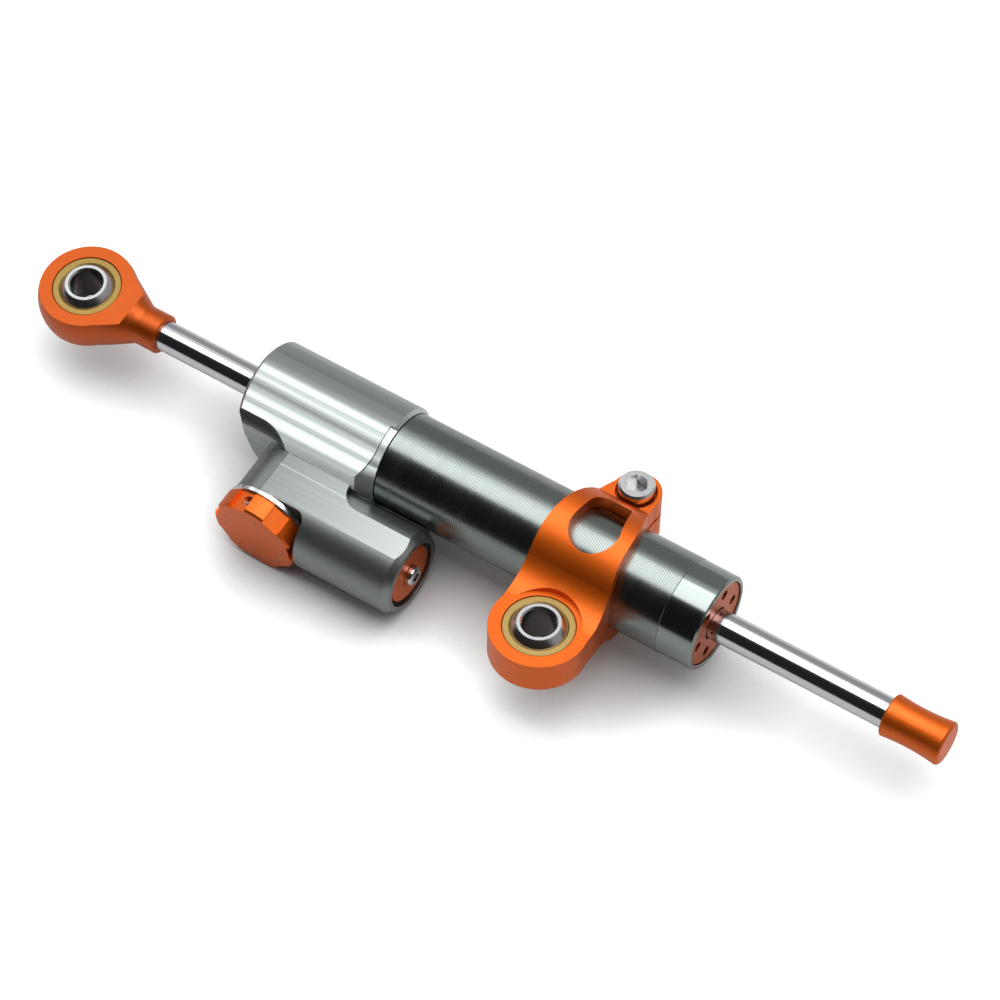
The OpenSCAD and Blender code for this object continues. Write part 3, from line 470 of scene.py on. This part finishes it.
# The small finishes: how each is made, its values and the CAD nodes that wear it
smallFinishes = {
    # Ground and chromed: near a mirror, its highlights a little drawn out
    "groundHardChrome": (turnedMetal, {"colour": "#cbcccf", "roughness": 0.14, "ringWidth": 0.0006,
                                       "bump": 0.02, "anisotropic": 0.3}, ["rod"]),
    # Turned brass: soft gold rings, duller at the rod end
    "turnedBrassOfRodEnd": (facedMetal, {"colour": "#8d7338", "pale": "#ab8f57", "roughness": 0.34,
                                         "centre": rodEndCentre}, ["rod_end_race"]),
    "turnedBrassOfClamp": (facedMetal, {"colour": "#9a7f41", "pale": "#bda26b", "roughness": 0.34,
                                        "centre": clampCentre}, ["clamp_race"]),
    # Ground bearing steel: a clean grey shine round a bore darkened with painted shade
    "groundSteelOfRodEndBall": (facedMetal, {**ballSteel, "centre": rodEndCentre},
                                ["rod_end_ball"]),
    "groundSteelOfClampBall": (facedMetal, {**ballSteel, "centre": clampCentre}, ["clamp_ball"]),
    # Zinc plated and stainless screws: pale and bright
    "zincPlatedScrewSteel": (facedMetal, {"colour": "#d4d5d6", "pale": "#e0e1e2", "roughness": 0.2,
                                          "centre": boltCentre, "ringWidth": 0.0005, "bump": 0.0},
                             ["clamp_bolt"]),
    "stainlessScrewSteel": (turnedMetal, {"colour": "#cfd1d2", "roughness": 0.16},
                            ["fill_screw", "knob_set_screw"]),
    # Bare aluminium: the ring under the knob shows as a white band, the rest is inside
    "turnedBareAluminium": (turnedMetal, {"colour": "#dcdddd", "roughness": 0.2},
                            ["detent_ring", "piston", "floating_piston", "adjuster_spindle",
                             "detent_ball", "detent_spring"]),
    # Oiled bronze: a dull warm brown
    "sinteredBronze": (turnedMetal, {"colour": "#b08d57", "roughness": 0.38},
                       ["front_bushing", "tail_bushing"]),
    # Blackened spring wire: a thin dark line round the cap
    "blackenedSpringSteel": (turnedMetal, {"colour": "#3b3c3e", "roughness": 0.35},
                             ["cap_circlip", "piston_circlips"]),
    # Rubber and filled plastic: matt black
    "mouldedNitrileRubber": (mouldedRubber, {"colour": "#141414", "roughness": (0.5, 0.75)},
                             ["front_rod_seal", "tail_rod_seal", "front_wiper", "tail_wiper",
                              "head_o_ring", "gland_o_ring", "reservoir_cap_o_ring",
                              "spindle_o_ring", "floating_piston_o_ring"]),
    "filledPtfeRing": (mouldedRubber, {"colour": "#26282a", "roughness": (0.5, 0.75)},
                       ["piston_ring"]),
}

giveFinish(turnedDarkAnodized("turnedDarkGreyAnodizedTube", tubeFinish), "tube")
giveFinish(milledGreyAnodized("milledTitaniumGreyAnodizedHeadWithPaintedLight", headFinish), "head_housing")
giveFinish(blastedOrangeAnodized("blastedOrangeAnodizedAluminium", orangeFinish),
           "clamp", "stop_cap", "knob", "reservoir_cap")
giveFinish(blastedOrangeAnodized("blastedOrangeAnodizedWithPaintedHoleShade", glandFinish), "tail_gland")
giveFinish(blastedOrangeAnodized("blastedOrangeAnodizedWithPaintedShade", rodEndShadedFinish), "rod_end")
for finish, (make, values, wearers) in smallFinishes.items():
    giveFinish(make(finish, **values), *wearers)
print("finishes given")


# pieces that follow a rule
def ruleTree(name, look, *sizes):
    # An empty tree with a named number input for each of these sizes
    tree = bpy.data.node_groups.new(name, "GeometryNodeTree")
    tree.interface.new_socket("Geometry", in_out="OUTPUT", socket_type="NodeSocketGeometry")
    for size in sizes:
        kind = "NodeSocketInt" if isinstance(look[size], int) else "NodeSocketFloat"
        tree.interface.new_socket(size, in_out="INPUT", socket_type=kind)
    return tree, addNode(tree, "NodeGroupInput").outputs


def closeTree(tree, geometry, material, place):
    # Turns what was built on Z to face -Y, puts it in place and gives it its material
    stood = addNode(tree, "GeometryNodeTransform",
                    {"Geometry": geometry, "Rotation": (math.pi / 2, 0, 0), "Translation": place})
    real = addNode(tree, "GeometryNodeRealizeInstances", {0: stood.outputs[0]})
    dressed = addNode(tree, "GeometryNodeSetMaterial", {0: real.outputs[0], "Material": material})
    addNode(tree, "NodeGroupOutput", {0: dressed.outputs[0]})


def plainPiece(name, tree, look):
    # Runs the tree and keeps its result as a plain mesh object
    source = bpy.data.objects.new(name + "Rule", bpy.data.meshes.new(name + "Rule"))
    scene.collection.objects.link(source)
    rule = source.modifiers.new("rule", "NODES")
    rule.node_group = tree
    for item in tree.interface.items_tree:
        if item.in_out == "INPUT":
            rule[item.identifier] = look[item.name]
    ready = source.evaluated_get(bpy.context.evaluated_depsgraph_get())
    mesh = bpy.data.meshes.new_from_object(ready)
    mesh.name = name
    source.modifiers.remove(rule)
    bpy.data.objects.remove(source)
    piece = bpy.data.objects.new(name, mesh)
    scene.collection.objects.link(piece)
    return piece


tickLook = {
    "ticks": 14,             # a plain scale round the knob's face
    "axisX": 0.0739,         # the knob's axis
    "axisZ": -0.009,
    "reach": 0.0087,
    "length": 0.0013,
    "width": 0.0003,
    "height": 0.00003,
    "colour": "#b9aca4",
    "worn": "#c48a6c",
    "wear": 900,             # per metre, so about 1 mm across
    "roughness": 0.6,
}
ink, tree = newMaterial("padPrintedGreyTicks")
# Matt grey printing ink, slightly worn so that the anodising shows through its edge
wear = addNode(tree, "ShaderNodeMapRange", {0: streaks(tree, (tickLook["wear"],) * 3), 1: 0.5, 2: 0.7})
printed = addNode(tree, "ShaderNodeMix",
                  {0: wear.outputs[0], 6: hexColour(tickLook["colour"]), 7: hexColour(tickLook["worn"])},
                  data_type="RGBA")
closeMaterial(tree, {"Base Color": printed.outputs[2], "Roughness": tickLook["roughness"]})

tree, given = ruleTree("ticksRoundFace", tickLook, "ticks", "reach", "length", "width", "height")
ring = addNode(tree, "GeometryNodeMeshCircle", {"Vertices": given["ticks"], "Radius": given["reach"]})
size = addNode(tree, "ShaderNodeCombineXYZ",
               {0: given["length"], 1: given["width"], 2: given["height"]})
bar = addNode(tree, "GeometryNodeMeshCube", {"Size": size.outputs[0]})
step = addNode(tree, "ShaderNodeMath", {0: 2 * math.pi, 1: given["ticks"]}, operation="DIVIDE")
number = addNode(tree, "GeometryNodeInputIndex")
turn = addNode(tree, "ShaderNodeMath", {0: number.outputs[0], 1: step.outputs[0]},
               operation="MULTIPLY")
outward = addNode(tree, "ShaderNodeCombineXYZ", {2: turn.outputs[0]})
bars = addNode(tree, "GeometryNodeInstanceOnPoints",
               {"Points": ring.outputs[0], "Instance": bar.outputs[0], "Rotation": outward.outputs[0]})
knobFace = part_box("knob")[0][1]
closeTree(tree, bars.outputs[0], ink,
          (tickLook["axisX"], knobFace - tickLook["height"] / 3, tickLook["axisZ"]))
knobTicks = plainPiece("knobTicks", tree, tickLook)
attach(knobTicks, "knob")

springLook = {
    "wire": 0.00022,         # half the wire's thickness
    "reach": 0.00121,
    "turns": 7.5,
    "height": 0.0071,
}
tree, given = ruleTree("springCoil", springLook, *springLook)
path = addNode(tree, "GeometryNodeCurveSpiral",
               {"Resolution": 24, "Rotations": given["turns"], "Start Radius": given["reach"],
                "End Radius": given["reach"], "Height": given["height"]})
section = addNode(tree, "GeometryNodeCurvePrimitiveCircle",
                  {"Resolution": 10, "Radius": given["wire"]})
coil = addNode(tree, "GeometryNodeCurveToMesh",
               {"Curve": path.outputs[0], "Profile Curve": section.outputs[0], "Fill Caps": True})
springLow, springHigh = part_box("detent_spring")
closeTree(tree, coil.outputs[0], nodes["detent_spring"].data.materials[0],
          ((springLow[0] + springHigh[0]) / 2, springHigh[1] - springLook["wire"],
           (springLow[2] + springHigh[2]) / 2))
springCoil = plainPiece("detentSpringCoil", tree, springLook)
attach(springCoil, "damper_body")
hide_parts("detent_spring")
print("ruled pieces made:", len(knobTicks.data.polygons), len(springCoil.data.polygons))

# camera
cameraLook = {
    "place": (0.4203, -0.3659, 0.7587),
    "right": (0.8366, 0.5444, -0.0620),
    "up": (-0.4365, 0.7306, 0.5251),
    "back": (0.3312, -0.4122, 0.8488),
    "lens": 130.98,
    "sensor": 36,
}
camera = bpy.data.objects.new("photoCamera", bpy.data.cameras.new("photoCamera"))
camera.data.lens = cameraLook["lens"]
camera.data.sensor_width = cameraLook["sensor"]
axes = Matrix([cameraLook["right"], cameraLook["up"], cameraLook["back"]]).transposed()
camera.matrix_world = Matrix.Translation(cameraLook["place"]) @ axes.to_4x4()
scene.collection.objects.link(camera)
scene.camera = camera

# studio
studioLook = {
    "floorZ": -0.0208,
    "floorSize": 6.0,
    "floorColour": "#c8c8c8",
    "floorGlow": 0.86,       # what the pale sweep adds for the eye and for reflections
    "mirroredShare": 0.16,   # share of that glow which metal mirrors
    "shadowReach": 0.027,
    "shadowPower": 3.4,
    "height": 0.8,
    # Each overhead box: low corner, high corner, radiance. The lit area steps back on its left
    "boxes": {"mainBox": ((-0.45, -0.2), (0.75, 0.31), 3.1),
              "stepBox": ((-0.2, 0.31), (0.75, 0.48), 3.7),
              "cornerBox": ((-0.45, 0.31), (-0.2, 0.48), 0.35),
              "backBox": ((-0.45, 0.48), (0.75, 0.75), 0.6),
              "leftBox": ((-0.95, -0.2), (-0.45, 0.75), 0.5),
              "farBox": ((-1.8, -0.1), (-0.95, 0.75), 1.3)},
    # The room as metal sees it: dark on the camera's side, mid grey behind the object
    "roomDark": 0.02,
    "roomGrey": 0.42,
    "roomTurn": (-0.35, 0.15),
}
half = studioLook["floorSize"] / 2
corners = [(-half, -half), (half, -half), (half, half), (-half, half)]
floorMesh = bpy.data.meshes.new("studioFloor")
floorMesh.from_pydata([(x, y, studioLook["floorZ"]) for x, y in corners], [], [(0, 1, 2, 3)])
floor = bpy.data.objects.new("studioFloor", floorMesh)
scene.collection.objects.link(floor)

# Matt white board: it keeps the object's shadow and glows a little for the eye and for reflections
board, tree = newMaterial("mattWhiteSweep")
rays = addNode(tree, "ShaderNodeLightPath").outputs
seen = addNode(tree, "ShaderNodeMath", {0: rays["Is Camera Ray"], 1: rays["Is Transmission Ray"]},
               operation="MAXIMUM")
mirrored = addNode(tree, "ShaderNodeMath",
                   {0: rays["Is Glossy Ray"], 1: studioLook["mirroredShare"]}, operation="MULTIPLY")
shown = addNode(tree, "ShaderNodeMath", {0: seen.outputs[0], 1: mirrored.outputs[0]},
                operation="MAXIMUM")
# Near the object the glow is blocked, which leaves a soft contact shadow
openness = addNode(tree, "ShaderNodeAmbientOcclusion", {"Distance": studioLook["shadowReach"]},
                   samples=6)
unblocked = addNode(tree, "ShaderNodeMath",
                    {0: openness.outputs["AO"], 1: studioLook["shadowPower"]}, operation="POWER")
fullGlow = addNode(tree, "ShaderNodeMath", {0: shown.outputs[0], 1: studioLook["floorGlow"]},
                   operation="MULTIPLY")
glow = addNode(tree, "ShaderNodeMath", {0: fullGlow.outputs[0], 1: unblocked.outputs[0]},
               operation="MULTIPLY")
matt = addNode(tree, "ShaderNodeBsdfDiffuse", {"Color": hexColour(studioLook["floorColour"])})
light = addNode(tree, "ShaderNodeEmission", {"Strength": glow.outputs[0]})
total = addNode(tree, "ShaderNodeAddShader", {0: matt.outputs[0], 1: light.outputs[0]})
addNode(tree, "ShaderNodeOutputMaterial", {"Surface": total.outputs[0]})
floorMesh.materials.append(board)


def softBox(name, low, high, height, radiance):
    # A level box overhead, facing down
    lamp = bpy.data.lights.new(name, "AREA")
    lamp.shape = "RECTANGLE"
    lamp.size, lamp.size_y = high[0] - low[0], high[1] - low[1]
    lamp.energy = radiance * math.pi * lamp.size * lamp.size_y
    item = bpy.data.objects.new(name, lamp)
    item.location = ((low[0] + high[0]) / 2, (low[1] + high[1]) / 2, height)
    scene.collection.objects.link(item)


for name, (low, high, radiance) in studioLook["boxes"].items():
    softBox(name, low, high, studioLook["height"], radiance)

world = bpy.data.worlds.new("studioRoom")
scene.world = world
world.use_nodes = True
tree = world.node_tree
tree.nodes.clear()
toward = addNode(tree, "ShaderNodeTexCoord").outputs["Generated"]
y = addNode(tree, "ShaderNodeSeparateXYZ", {0: toward}).outputs["Y"]
darkTo, greyFrom = studioLook["roomTurn"]
room = addNode(tree, "ShaderNodeMapRange",
               {0: y, 1: darkTo, 2: greyFrom, 3: studioLook["roomDark"], 4: studioLook["roomGrey"]},
               interpolation_type="SMOOTHSTEP")
rays = addNode(tree, "ShaderNodeLightPath").outputs
direct = addNode(tree, "ShaderNodeMath", {0: rays["Is Camera Ray"], 1: rays["Is Transmission Ray"]},
                 operation="MAXIMUM")
# The camera sees plain white past the floor
strength = addNode(tree, "ShaderNodeMix", {0: direct.outputs[0], 2: room.outputs[0], 3: 1.0})
background = addNode(tree, "ShaderNodeBackground",
                     {"Color": (1, 1, 1, 1), "Strength": strength.outputs[0]})
addNode(tree, "ShaderNodeOutputWorld", {"Surface": background.outputs[0]})
scene.view_settings.view_transform = "Standard"
print("camera and studio set")
